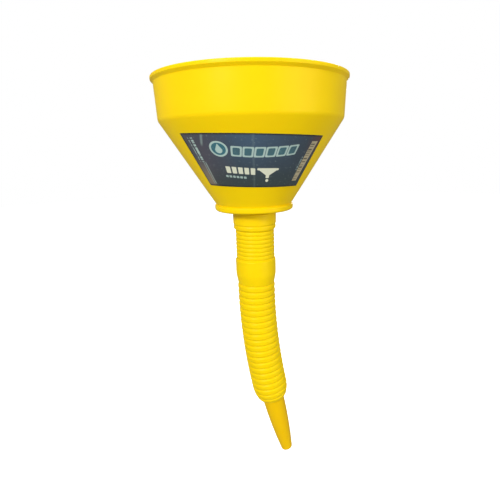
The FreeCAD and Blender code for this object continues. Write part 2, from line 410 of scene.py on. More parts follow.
@dataclass(frozen=True)
class PrintedFilm:
    """Printed satin film, with marks that stand in for the print and carry no lettering."""

    name: str = "label_film"
    slate: Colour = paint(46, 61, 72)
    blue: Colour = paint(62, 88, 112)
    mauve: Colour = paint(78, 74, 84)
    tan: Colour = paint(136, 120, 102)
    teal: Colour = paint(40, 57, 52)
    edge: Colour = paint(20, 28, 24)
    pale: Colour = paint(182, 208, 198)
    cream: Colour = paint(228, 230, 204)
    sea: Colour = paint(44, 112, 124)
    sand: Colour = paint(190, 176, 138)
    rust: Colour = paint(96, 46, 30)
    badge: Mark = Mark(-23.8, 10.3, 11.6, 11.6, 5.7)
    blocks: Row = Row(-17.2, 29.0, 7.7, Mark(3.85, 10.6, 6.4, 7.6, 1.0))
    bars: Row = Row(-23.6, 0.9, 4.9, Mark(2.45, -8.6, 3.6, 5.8, 0.5))
    dashes: Row = Row(-25.4, -6.8, 3.1, Mark(1.55, -14.6, 2.2, 1.9, 0.4))
    brim: Mark = Mark(10.6, -6.4, 17.6, 1.9, 0.9)
    stem: Mark = Mark(10.6, -12.6, 2.9, 3.4, 0.4)
    strip: Mark = Mark(42.3, 0.2, 6.0, 35.6, 0.3)
    strip_lines: float = 41.7
    notes: float = 37.7
    tilt: float = 0.085
    crisp: float = 0.12

    def block(self, recipe: Recipe, x: Wire, y: Wire, mark: Mark, grow: float = 0.0) -> Wire:
        """A rounded block with a crisp edge.

        Args:
            recipe: The node tree.
            x: Across the label, in millimetres from its middle.
            y: Up the label, in millimetres from its middle.
            mark: The block.
            grow: How far its edge is moved out, in millimetres.

        Returns:
            1 in the block and 0 outside it.
        """
        half = mark.wide / 2 + grow - mark.corner
        tall = mark.high / 2 + grow - mark.corner
        over = (abs(x - mark.x) - half).most(0.0)
        above = (abs(y - mark.y) - tall).most(0.0)
        reach = (over * over + above * above) ** 0.5
        return recipe.ramp(reach, mark.corner + self.crisp, mark.corner - self.crisp)

    def row(self, recipe: Recipe, x: Wire, y: Wire, row: Row, grow: float = 0.0) -> Wire:
        """A row of rounded blocks.

        Args:
            recipe: The node tree.
            x: Along the row, in millimetres.
            y: Across the row, in millimetres.
            row: The row.
            grow: How far the blocks' edges are moved out, in millimetres.

        Returns:
            1 in the blocks and 0 outside them.
        """
        one = self.block(recipe, (x - row.start) % row.pitch, y, row.mark, grow)
        return one * (x > row.start) * (x < row.end)

    def spot(self, recipe: Recipe) -> Spot:
        """Finds where a point lies on the label.

        Args:
            recipe: The node tree.

        Returns:
            The place, and the ink's strength there.
        """
        sheet = recipe.add("ShaderNodeUVMap", {"uv_map": "Print"})
        across = recipe.add("ShaderNodeSeparateXYZ", None, {0: sheet}, out="X")
        up = recipe.add("ShaderNodeSeparateXYZ", None, {0: sheet}, out="Y")
        mottle = recipe.cloud(recipe.place(), 0.012, 4.0, 0.6)
        return Spot((across - 0.5) * LABEL_WIDE, (up - 0.5) * LABEL_HIGH, up, mottle)

    def ground(self, recipe: Recipe, spot: Spot) -> Wire:
        """The ground: slate and blue, deeper at the foot, browner in two corners.

        Args:
            recipe: The node tree.
            spot: Where on the label.

        Returns:
            The colour.
        """
        x, up, mottle = spot.x, spot.up, spot.mottle
        sky = recipe.ramp(up, 0.25, 1.0) * recipe.ramp(abs(x + 2.0), 42.0, 4.0)
        left = recipe.ramp(x, -12.0, -36.0)
        foot = recipe.ramp(up, 0.45, 0.0)
        corner = recipe.ramp(x, 36.0, 47.0) * recipe.ramp(up, 0.55, 0.95)
        heel = recipe.ramp(x, -37.5, -42.0) * recipe.ramp(up, 0.55, 0.25)
        colour = recipe.blend(sky * 0.9 + mottle * 0.2 - 0.1, self.slate, self.blue)
        colour = recipe.blend(left * 0.85 * (mottle + 0.4), colour, self.mauve)
        colour = recipe.blend(foot * 0.8, colour, self.teal)
        colour = recipe.blend(corner * 0.75, colour, self.rust)
        return recipe.blend(heel * (mottle * 0.4 + 0.6), colour, self.tan)

    def banner(self, recipe: Recipe, spot: Spot, colour: Wire) -> Wire:
        """Adds the upper row: a badge, then outlined, leaning blocks on a shallow arc.

        Args:
            recipe: The node tree.
            spot: Where on the label.
            colour: The colour under it.

        Returns:
            The colour with it.
        """
        sag = spot.y + 2.6 - spot.x * spot.x * 0.0032
        lean = spot.x - sag * 0.12
        outline = self.row(recipe, lean, sag, self.blocks, 0.45)
        fill = self.row(recipe, lean, sag, self.blocks, -0.8)
        ink = recipe.blend(spot.mottle, self.slate, self.sea)
        colour = recipe.blend(outline * 0.85, colour, self.pale)
        colour = recipe.blend(fill * 0.95, colour, ink)
        plate = self.block(recipe, spot.x, spot.y, self.badge)
        colour = recipe.blend(plate * 0.8, colour, self.sea)
        return recipe.blend(self.emblem(recipe, spot) * 0.9, colour, self.pale)

    def emblem(self, recipe: Recipe, spot: Spot) -> Wire:
        """A drop in a ring, on the badge.

        Args:
            recipe: The node tree.
            spot: Where on the label.

        Returns:
            1 on the drop and the ring.
        """
        x, y = spot.x - self.badge.x, spot.y
        above = y - self.badge.y
        far = (x * x + above * above) ** 0.5
        ring = recipe.ramp(abs(far - self.badge.corner), 0.8, 0.55)
        low = (x * x + (y - 9.2) * (y - 9.2)) ** 0.5
        bowl = recipe.ramp(low, 2.6, 2.3)
        cap = abs(x) + (y - 14.4) * 0.52
        point = recipe.ramp(cap, 0.25, 0.0) * (y > 9.5) * recipe.ramp(y, 14.6, 14.4)
        return ring.most(bowl.most(point))

    def pictogram(self, recipe: Recipe, spot: Spot) -> Wire:
        """A plain funnel over a drop, as on any refuelling tool.

        Args:
            recipe: The node tree.
            spot: Where on the label.

        Returns:
            1 on the pictogram.
        """
        x, y = spot.x - self.stem.x, spot.y
        cup = recipe.ramp(abs(x) - (y + 12.9) * 1.27, 0.3, 0.0)
        cup = cup * recipe.ramp(y, -6.2, -6.5) * recipe.ramp(y, -11.9, -11.6)
        stem = self.block(recipe, spot.x, y, self.stem)
        brim = self.block(recipe, spot.x, y, self.brim)
        far = (x * x + (y + 16.6) * (y + 16.6)) ** 0.5
        return cup.most(stem).most(brim).most(recipe.ramp(far, 1.5, 1.2))

    def footer(self, recipe: Recipe, spot: Spot, colour: Wire) -> Wire:
        """Adds the lower row: plain bars, short dashes under them, and the pictogram.

        Args:
            recipe: The node tree.
            spot: Where on the label.
            colour: The colour under it.

        Returns:
            The colour with it.
        """
        slant = spot.y + spot.x * 0.065
        bars = self.row(recipe, spot.x, slant, self.bars)
        dashes = self.row(recipe, spot.x, slant, self.dashes)
        colour = recipe.blend(bars * 0.92, colour, self.cream)
        colour = recipe.blend(dashes * 0.75, colour, self.pale)
        return recipe.blend(self.pictogram(recipe, spot) * 0.95, colour, self.cream)

    def margins(self, recipe: Recipe, spot: Spot, colour: Wire) -> Wire:
        """Adds broken lines and rules along the left edge, a striped strip along the right.

        Args:
            recipe: The node tree.
            spot: Where on the label.
            colour: The colour under them.

        Returns:
            The colour with them.
        """
        x, up = spot.x, spot.up
        level = recipe.place((0.0, 0.0, 1.0))
        broken = recipe.ramp(recipe.cloud(level, 0.0011, 0.0), 0.42, 0.5)
        rows = (abs(x + 41.2) < 1.05).most((abs(x + 44.2) < 0.5) * 0.6)
        small = rows * broken * recipe.ramp(abs(up - 0.70), 0.23, 0.21)
        rules = (abs(x + 39.4) < 0.35).most((abs(x + 41.4) < 0.3) * 0.7)
        small = small.most(rules * recipe.ramp(abs(up - 0.26), 0.22, 0.20) * 0.8)
        tilted = x - spot.y * self.tilt
        notes = (abs(tilted - self.notes) < 0.6) * broken
        notes = notes * recipe.ramp(abs(up - 0.47), 0.14, 0.12)
        colour = recipe.blend(small.most(notes * 0.6) * 0.9, colour, self.pale)
        lines = recipe.ramp(recipe.cloud(level, 0.0013, 1.0), 0.50, 0.53)
        lines = lines * (abs(tilted - self.strip_lines) < 2.0)
        striped = recipe.blend(lines * 0.75, self.sand, self.edge)
        strip = self.block(recipe, tilted, spot.y, self.strip)
        return recipe.blend(strip * 0.92, colour, striped)

    def cook(self, recipe: Recipe) -> Wire:
        """Adds the film's nodes: ground and marks, border, and wear.

        Args:
            recipe: The node tree.

        Returns:
            The shader.
        """
        spot = self.spot(recipe)
        x, y, mottle = spot.x, spot.y, spot.mottle
        colour = self.banner(recipe, spot, self.ground(recipe, spot))
        colour = self.margins(recipe, spot, self.footer(recipe, spot, colour))
        rim = (49.0 - abs(x)).least(22.6 - abs(y))
        colour = recipe.blend(recipe.ramp(rim, 1.1, 0.4) * 0.85, colour, self.edge)
        fine = recipe.cloud(recipe.place(), 0.0016, 3.0, 0.6)
        rubbed = recipe.ramp(fine, 0.60, 0.75) * 0.18
        crease = recipe.ramp(abs(x + 0.8 + (mottle - 0.5) * 1.5), 1.3, 0.1)
        streak = recipe.ramp(abs(x + 33.5 - (y - 18.0) * 0.35), 1.3, 0.2)
        streak = streak * recipe.ramp(y, 12.0, 15.0) * recipe.ramp(y, 22.4, 21.0)
        light = (rubbed + crease * 0.07 + streak * 0.35).least(1.0)
        waves = recipe.bump(recipe.cloud(recipe.place(), 0.009, 2.0), 0.0004, 0.35)
        inputs = {
            "Base Color": recipe.blend(light, colour, self.pale),
            "Roughness": mottle * 0.18 + rubbed * 0.6 + 0.27,
            "Normal": recipe.bump(crease + streak * 0.5, 0.00018, 0.5, waves),
            "IOR": 1.5,
            "Coat Weight": 0.35,
            "Coat Roughness": 0.2,
        }
        return recipe.add("ShaderNodeBsdfPrincipled", None, inputs)


@dataclass(frozen=True)
class WireFinish:
    """Drawn brass wire, woven and dulled by fuel."""

    name: str = "gauze_wire"
    bright: Colour = paint(196, 172, 112)
    dull: Colour = paint(138, 112, 66)

    def cook(self, recipe: Recipe) -> Wire:
        """Adds the wire's nodes.

        Args:
            recipe: The node tree.

        Returns:
            The shader.
        """
        stain = recipe.cloud(recipe.place(), 0.008, 3.0)
        drawn = recipe.cloud(recipe.place(), 0.0004, 2.0)
        inputs = {
            "Base Color": recipe.blend(recipe.ramp(stain, 0.35, 0.7), self.bright, self.dull),
            "Metallic": 1.0,
            "Roughness": stain * 0.25 + drawn * 0.1 + 0.2,
            "Normal": recipe.bump(drawn, 0.00003, 0.3),
        }
        return recipe.add("ShaderNodeBsdfPrincipled", None, inputs)


@dataclass(frozen=True)
class FloorFinish:
    """Plain pale studio floor, lit a little from below as a light table is."""

    name: str = "studio_floor"
    light: Colour = (0.93, 0.93, 0.93, 1.0)
    shade: Colour = (0.90, 0.90, 0.905, 1.0)
    glow: float = 0.72

    def cook(self, recipe: Recipe) -> Wire:
        """Adds the floor's nodes.

        Args:
            recipe: The node tree.

        Returns:
            The shader.
        """
        patches = recipe.cloud(recipe.place(), 0.25, 2.0)
        inputs = {
            "Base Color": recipe.blend(patches, self.light, self.shade),
            "Roughness": patches * 0.1 + 0.75,
            "Specular IOR Level": 0.1,
            "Emission Color": (1.0, 1.0, 1.0, 1.0),
            "Emission Strength": self.glow,
        }
        return recipe.add("ShaderNodeBsdfPrincipled", None, inputs)


class Finish(Enum):
    """The finishes of the funnel's pieces, each with the name that goes into its material's name.
    """

    BOWL = MouldedPlastic("bowl_plastic", paint(248, 212, 0), paint(243, 201, 0))
    SPOUT = MouldedPlastic("spout_plastic", paint(248, 212, 0), paint(243, 201, 0), 0.38)
    NOZZLE = MouldedPlastic("nozzle_plastic", paint(240, 195, 0), paint(234, 182, 0), 0.33)
    STRAINER = MouldedPlastic("strainer_plastic", paint(244, 200, 14), paint(238, 190, 10), 0.42)
    LABEL = PrintedFilm()
    GAUZE = WireFinish()

    def coat(self, piece: bpy.types.Object) -> bpy.types.Object:
        """Gives a piece this finish, making the material the first time.

        Args:
            piece: The piece.

        Returns:
            The piece.
        """
        slot = self.value.name
        name = f"finish_{slot}"
        material = bpy.data.materials.get(name) or finished(name, self.value.cook)
        piece.data.materials.append(material)
        return piece


# ----------------------------------------------------------------------------------- meshes


def around(sides: int) -> np.ndarray:
    """Even steps of angle, once round."""
    return np.arange(sides) * FULL_TURN / sides


def unit(arrow: np.ndarray) -> np.ndarray:
    """The arrow at length 1."""
    return arrow / np.linalg.norm(arrow)


def rounded(corners: Sequence[Corner], stride: float = 3.0) -> np.ndarray:
    """Draws a closed half section from its corners.

    Args:
        corners: Radius, height and rounding of each corner, in order.
        stride: The longest step between two points of a straight run.

    Returns:
        The section's points, radius and height.
    """
    points: list[np.ndarray] = []
    for place, (radius, height, fillet) in enumerate(corners):
        here = np.array((radius, height))
        if fillet <= 0:
            points.append(here)
            continue
        one = unit(np.array(corners[place - 1][:2]) - here)
        two = unit(np.array(corners[(place + 1) % len(corners)][:2]) - here)
        half = math.acos(float(np.clip(one @ two, -1, 1))) / 2
        centre = here + unit(one + two) * fillet / math.sin(half)
        first = here + one * fillet / math.tan(half) - centre
        last = here + two * fillet / math.tan(half) - centre
        start = math.atan2(first[1], first[0])
        sweep = (math.atan2(last[1], last[0]) - start + math.pi) % FULL_TURN - math.pi
        for share in np.linspace(0, 1, max(4, math.ceil(abs(sweep) / 0.16)) + 1):
            angle = start + sweep * share
            points.append(centre + fillet * np.array((math.cos(angle), math.sin(angle))))
    section: list[np.ndarray] = []
    for here, after in zip(points, points[1:] + points[:1]):
        steps = max(1, math.ceil(float(np.linalg.norm(after - here)) / stride))
        section += [here + (after - here) * step / steps for step in range(steps)]
    return np.array(section)


def upright(heights: np.ndarray) -> tuple[np.ndarray, np.ndarray]:
    """Stations on the bowl's own axis.

    Args:
        heights: Heights in millimetres.

    Returns:
        The points on the axis, and the direction there that counts as outwards at 0 degrees.
    """
    nothing = np.zeros_like(heights)
    return np.stack((nothing, nothing, heights), 1), np.stack((nothing + 1, nothing, nothing), 1)


def joined(rows: int, sides: int, ring: bool) -> list[list[int]]:
    """Faces between rows of points that each go once round.

    Args:
        rows: How many rows there are.
        sides: How many points each row has.
        ring: Whether the last row meets the first, which leaves no ends to cap.

    Returns:
        The faces.
    """
    faces = [
        [
            row * sides + side,
            row * sides + (side + 1) % sides,
            (row + 1) % rows * sides + (side + 1) % sides,
            (row + 1) % rows * sides + side,
        ]
        for row in range(rows if ring else rows - 1)
        for side in range(sides)
    ]
    if not ring:
        faces.append(list(range(sides))[::-1])
        faces.append(list(range((rows - 1) * sides, rows * sides)))
    return faces


class Moulding:
    """Points and faces gathered for one mesh, in millimetres."""

    def __init__(self) -> None:
        """Starts empty."""
        self.points: list[np.ndarray] = []
        self.faces: list[list[int]] = []

    def add(self, points: np.ndarray, faces: Iterable[Sequence[int]]) -> None:
        """Adds a closed shell and turns its faces outwards.

        Args:
            points: Its points.
            faces: Its faces, numbered from its own first point.
        """
        shell = [list(face) for face in faces]
        volume = 0.0
        for face in shell:
            fan = points[face]
            volume += float(np.einsum("i,ji->", fan[0], np.cross(fan[1:-1], fan[2:])))
        start = sum(len(known) for known in self.points)
        self.points.append(points)
        for face in shell:
            turned = face if volume > 0 else face[::-1]
            self.faces.append([start + number for number in turned])

    def turned(
        self,
        section: np.ndarray,
        sides: int,
        station: Station = upright,
        swell: Callable[[np.ndarray, np.ndarray], np.ndarray] | None = None,
    ) -> None:
        """Sweeps a closed half section round an axis, straight or bent.

        Args:
            section: Radius and height, or length along the axis, of its points.
            sides: How many steps make the turn.
            station: Gives the axis there.
            swell: Added to the radius, from the angle and the height.
        """
        centres, outwards = station(section[:, 1])
        angles = around(sides)
        radii = np.repeat(section[:, :1], sides, 1)
        if swell is not None:
            radii = radii + swell(angles[None, :], section[:, 1:])
        across = np.cos(angles)[None, :, None] * outwards[:, None, :]
        along_y = np.sin(angles)[None, :, None] * np.array((0.0, 1.0, 0.0))
        points = centres[:, None, :] + radii[:, :, None] * (across + along_y)
        self.add(points.reshape(-1, 3), joined(len(section), sides, ring=True))

    def tube(self, path: np.ndarray, radius: float, sides: int, ring: bool = False) -> None:
        """Adds a round bar along a path.

        Args:
            path: The points of its middle.
            radius: Its radius.
            sides: How many steps make the turn.
            ring: Whether its ends meet.
        """
        if ring:
            heading = np.roll(path, -1, 0) - np.roll(path, 1, 0)
        else:
            heading = np.gradient(path, axis=0)
        heading /= np.linalg.norm(heading, axis=1)[:, None]
        spread = np.ptp(path, axis=0)
        flat = np.zeros(3)
        flat[int(np.argmin(spread))] = 1.0
        aside = np.cross(heading, flat)
        aside /= np.linalg.norm(aside, axis=1)[:, None]
        up = np.cross(heading, aside)
        angles = around(sides)
        round_it = np.cos(angles)[None, :, None] * aside[:, None, :]
        round_it = round_it + np.sin(angles)[None, :, None] * up[:, None, :]
        points = (path[:, None, :] + radius * round_it).reshape(-1, 3)
        self.add(points, joined(len(path), sides, ring))

    def piece(self, name: str, sharp: float = 40.0) -> bpy.types.Object:
        """Makes the object, smooth but for its sharp edges.

        Args:
            name: The piece's name.
            sharp: Edges that turn by more than this, in degrees, stay sharp.

        Returns:
            The object, in the scene.
        """
        mesh = bpy.data.meshes.new(name)
        mesh.from_pydata((np.concatenate(self.points) * MM).tolist(), [], self.faces)
        mesh.validate()
        mesh.shade_smooth()
        mesh.set_sharp_from_angle(angle=math.radians(sharp))
        made = bpy.data.objects.new(name, mesh)
        bpy.context.scene.collection.objects.link(made)
        return made


def mount(
    piece: bpy.types.Object, finish: Finish, body: str, nodes: Sequence[str]
) -> bpy.types.Object:
    """Finishes a piece, puts it on its body and logs it.

    Args:
        piece: The piece.
        finish: Its finish.
        body: The body that it moves with.
        nodes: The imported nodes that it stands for.

    Returns:
        The piece.
    """
    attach(finish.coat(piece), body)
    if nodes:
        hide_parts(*nodes)
    log.info("%s rides on %s, %d faces", piece.name, body, len(piece.data.polygons))
    return piece


# --------------------------------------------------------------------------------- the bowl


@dataclass
class Bowl:
    """The bowl's one moulding: flanged rim, wall, cone, shoulder band, floor and neck."""

    rim_z: float = 104.8
    rim_r: float = 80.0
    flange_face: float = 2.6
    flange_slope: float = 2.1
    wall: float = 1.5
    wall_top_r: float = 77.9
    corner_z: float = 71.8
    corner_r: float = 76.7
    corner_round: float = 6.5
    foot_z: float = 3.3
    foot_r: float = 33.5
    band_r: float = 34.4
    band_half: float = 2.8
    band_z: float = 2.5
    floor: float = 1.6
    seat_r: float = 27.0
    drain_z: float = -4.0
    neck_r: float = 16.6
    bore_r: float = 15.0
    neck_end: float = -17.5
    bead_z: float = -14.5
    bead: float = 0.5
    oval: float = 0.16
    lobed: float = 0.07
    sunk: float = 0.03
    sides: int = 240

    @property
    def slope(self) -> float:
        """How fast the cone widens with height."""
        return (self.corner_r - self.foot_r) / (self.corner_z - self.foot_z)

    def cone_r(self, height: np.ndarray | float) -> np.ndarray | float:
        """The cone's outer radius at a height."""
        return self.foot_r + self.slope * (height - self.foot_z)

    def swell(self, angle: np.ndarray, height: np.ndarray) -> np.ndarray:
        """How far the thin wall is out of round.

        Args:
            angle: Angle round the axis.
            height: Height in millimetres.

        Returns:
            What the radius gains.
        """
        share = np.clip((height - self.foot_z) / (self.rim_z - self.foot_z), 0, 1)
        waves = self.oval * np.sin(2 * angle + 0.7) + self.lobed * np.sin(3 * angle + 1.9)
        sinks = self.sunk * np.sin(7 * angle + height * 0.05) * np.sin(height * 0.11)
        return share * waves + sinks * (share > 0) * (share < 0.95)

    def section(self) -> np.ndarray:
        """The bowl's half section, outside from the rim down and inside back up."""
        thick = self.wall * math.hypot(1, self.slope)
        floor_top = -self.band_half + self.floor
        flange_foot = self.rim_z - self.flange_face
        corners: list[Corner] = [
            (self.wall_top_r - self.wall, self.rim_z, 0.7),
            (self.rim_r, self.rim_z, 0.9),
            (self.rim_r, flange_foot, 0.5),
            (self.wall_top_r, flange_foot - self.flange_slope, 0.6),
            (self.corner_r, self.corner_z, self.corner_round),
            (self.cone_r(self.band_z), self.band_z, 0.25),
            (self.band_r, self.band_z - 0.5, 0.8),
            (self.band_r, -self.band_half, 2.2),
            (self.seat_r, -self.band_half, 0.8),
            (self.neck_r, self.drain_z - self.floor, 0.6),
            (self.neck_r, self.bead_z + 2 * self.bead, 0.0),
            (self.neck_r + self.bead, self.bead_z, 0.5),
            (self.neck_r, self.bead_z - 2 * self.bead, 0.0),
            (self.neck_r, self.neck_end, 0.4),
            (self.bore_r, self.neck_end, 0.4),
            (self.bore_r, self.drain_z, 0.6),
            (self.seat_r, floor_top, 0.5),
            (self.foot_r - thick, floor_top, 0.4),
            (self.foot_r - thick, self.foot_z, 0.4),
            (self.corner_r - self.wall, self.corner_z + self.wall * 0.3, self.corner_round),
        ]
        return rounded(corners, 4.0)

    def build(self) -> None:
        """Makes the bowl and puts it on its body."""
        shell = Moulding()
        shell.turned(self.section(), self.sides, swell=self.swell)
        mount(shell.piece("bowl_shell"), Finish.BOWL, "bowl_body", ["bowl"])


@dataclass
class Label:
    """The printed film on the front of the cone, put on slightly askew."""

    bowl: Bowl
    left: float = math.radians(-47.3)
    right: float = math.radians(53.7)
    foot_z: float = 20.4
    top_z: float = 59.4
    askew: float = -0.034
    lift: float = 0.03
    thick: float = 0.14
    crease: float = 0.05
    crease_wide: float = 1.1
    pucker: float = 0.02
    pressed: float = 6.0
    columns: int = 150
    rows: int = 60

    def surface(self, across: np.ndarray, up: np.ndarray, off: np.ndarray) -> np.ndarray:
        """Points of the film.

        Args:
            across: Share of its width, from its left edge.
            up: Share of its height, from its foot.
            off: How far off the cone, in millimetres.

        Returns:
            The points.
        """
        angle = FRONT + self.left + (self.right - self.left) * across
        level = self.foot_z + (self.top_z - self.foot_z) * up
        height = level.copy()
        for _ in range(6):
            radius = self.bowl.cone_r(height)
            height = level + self.askew * radius * np.cos(angle)
        radius = self.bowl.cone_r(height) + self.bowl.swell(angle, height)
        radius = radius + off * math.hypot(1, self.bowl.slope)
        return np.stack((radius * np.cos(angle), radius * np.sin(angle), height), -1)

    def build(self) -> None:
        """Makes the film as a thin closed sheet with its own print coordinates."""
        u, v = np.meshgrid(np.linspace(0, 1, self.columns + 1), np.linspace(0, 1, self.rows + 1))
        side, end = np.minimum(u, 1 - u) * LABEL_WIDE, np.minimum(v, 1 - v) * LABEL_HIGH
        inward = np.clip(np.minimum(side, end) / self.pressed, 0, 1)
        crease = np.exp(-(((u - 0.49) * LABEL_WIDE / self.crease_wide) ** 2)) * self.crease
        pucker = self.pucker * np.sin(u * 17) * np.sin(v * 9) * inward
        outer = self.surface(u, v, self.lift + self.thick + crease + pucker)
        inner = self.surface(u, v, np.full_like(u, self.lift))
        wide, count = self.columns + 1, (self.columns + 1) * (self.rows + 1)
        faces: list[list[int]] = []
        for row in range(self.rows):
            for column in range(self.columns):
                low = row * wide + column
                quad = [low, low + 1, low + 1 + wide, low + wide]
                faces.append(quad)
                faces.append([count + corner for corner in quad[::-1]])
        rim = list(range(wide))
        rim += [row * wide + self.columns for row in range(1, self.rows + 1)]
        rim += [self.rows * wide + column for column in range(self.columns - 1, -1, -1)]
        rim += [row * wide for row in range(self.rows - 1, 0, -1)]
        for here, after in zip(rim, rim[1:] + rim[:1]):
            faces.append([after, here, count + here, count + after])
        shell = Moulding()
        shell.add(np.concatenate((outer.reshape(-1, 3), inner.reshape(-1, 3))), faces)
        film = shell.piece("label_film")
        sheet = film.data.uv_layers.new(name="Print")
        flat = np.stack((u.ravel(), v.ravel()), 1)
        flat = np.concatenate((flat, flat))
        order = np.zeros(len(film.data.loops), np.int32)
        film.data.loops.foreach_get("vertex_index", order)
        sheet.data.foreach_set("uv", flat[order].astype(np.float32).ravel())
        mount(film, Finish.LABEL, "bowl_body", ["label"])


# ----------------------------------------------------------------------------- the strainer


@dataclass
class Strainer:
    """The lift-out strainer: a moulded ring, crossed bars and a loop, round a woven gauze."""

    foot_z: float = -1.15
    outer_r: float = 31.4
    rebate_r: float = 29.3
    shelf_r: float = 27.6
    shelf: float = 1.15
    ring: float = 1.6
    bar: float = 2.4
    bar_ease: float = 0.25
    bar_inset: float = 0.01
    bar_rows: int = 24
    axis_r: float = 0.02
    hub_r: float = 3.2
    loop_r: float = 4.4
    loop_wire: float = 1.1
    loop_rows: int = 72
    gauze_r: float = 29.1
    gauze_gap: float = 0.02
    hub_gap: float = 0.1
    pitch: float = 1.5
    wire: float = 0.19
    sides: int = 160
    hub_sides: int = 48

    def frame_moulding(self) -> None:
        """Makes the ring, bars, hub and lifting loop."""
        shelf_z = self.foot_z + self.shelf
        top = shelf_z + self.ring
        shell = Moulding()
        ring = [
            (self.shelf_r, self.foot_z, 0.2),
            (self.outer_r, self.foot_z, 0.3),
            (self.outer_r, top, 0.4),
            (self.rebate_r, top, 0.3),
            (self.rebate_r, shelf_z, 0.1),
            (self.shelf_r, shelf_z, 0.2),
        ]
        shell.turned(rounded(ring, 2.0), self.sides)
        hub = [
            (self.axis_r, self.foot_z, 0.0),
            (self.hub_r, self.foot_z, 0.3),
            (self.hub_r, top, 0.5),
            (self.axis_r, top, 0.0),
        ]
        shell.turned(rounded(hub, 1.5), self.hub_sides)
        for turn in (45, 135):
            self.add_bar(shell, math.radians(turn))
        angles = around(self.loop_rows)
        middle = top + self.loop_r - self.loop_wire / 2
        loop = np.stack(
            (self.loop_r * np.cos(angles), angles * 0, middle + self.loop_r * np.sin(angles)), 1
        )
        shell.tube(loop, self.loop_wire, 20, ring=True)
        made = shell.piece("strainer_moulding")
        mount(made, Finish.STRAINER, "strainer", ["strainer_frame"])

    def add_bar(self, shell: Moulding, turn: float) -> None:
        """Adds one crossed bar with eased edges.

        Args:
            shell: The moulding that it is part of.
            turn: Its direction round the axis, in radians.
        """
        half, ease = self.bar / 2, self.bar_ease
        low = self.foot_z + self.bar_inset
        high = self.foot_z + self.shelf - self.bar_inset
        outline = [
            (-half + ease, low),
            (half - ease, low),
            (half, low + ease),
            (half, high - ease),
            (half - ease, high),
            (-half + ease, high),
            (-half, high - ease),
            (-half, low + ease),
        ]
        ends = np.linspace(-self.shelf_r - 0.5, self.shelf_r + 0.5, self.bar_rows)
        points = np.array([(end, side, height) for end in ends for side, height in outline])
        spin = np.array(Matrix.Rotation(turn, 3, "Z"))
        shell.add(points @ spin.T, joined(len(ends), len(outline), ring=False))

    def gauze(self) -> None:
        """Weaves the gauze: each wire goes over one and under the next."""
        level = self.foot_z + self.shelf + self.gauze_gap + 2 * self.wire
        hole = self.hub_r + self.hub_gap
        shell = Moulding()
        count = int(self.gauze_r / self.pitch)
        for lay in range(2):
            for number in range(-count, count + 1):
                offset = number * self.pitch
                reach = math.sqrt(max(0.0, self.gauze_r**2 - offset**2))
                inner = math.sqrt(max(0.0, hole**2 - offset**2))
                spans = [(-reach, -inner), (inner, reach)] if inner > 0 else [(-reach, reach)]
                for start, end in spans:
                    if end - start < self.pitch:
                        continue
                    steps = max(3, math.ceil((end - start) / (self.pitch / 2)) + 1)
                    along = np.linspace(start, end, steps)
                    phase = math.pi * (number + lay)
                    height = level + self.wire * np.cos(math.pi * along / self.pitch + phase)
                    still = np.full_like(along, offset)
                    pair = (still, along) if lay else (along, still)
                    shell.tube(np.stack((*pair, height), 1), self.wire, 6)
        made = shell.piece("gauze_weave", sharp=70.0)
        mount(made, Finish.GAUZE, "strainer", ["strainer_gauze"])

    def build(self) -> None:
        """Makes both pieces of the strainer."""
        self.frame_moulding()
        self.gauze()


# -------------------------------------------------------------------------------- the spout


def even(radius: float) -> Callable[[float], float]:
    """A radius that is the same at every length."""
    return lambda _: radius


@dataclass
class Fold:
    """One valley of the bellows with half a crest on each side of it.

    Lengths run down the spout from the cuff's foot, so they are negative above it. narrow is
    the power that keeps the valley narrow between broad crests.
    """

    name: str
    above: str
    below: str
    nodes: list[str]
    top: float
    valley: float
    foot: float
    top_crest: Callable[[float], float]
    foot_crest: Callable[[float], float]
    valley_r: float
    narrow: float
    bore: Callable[[float], float]


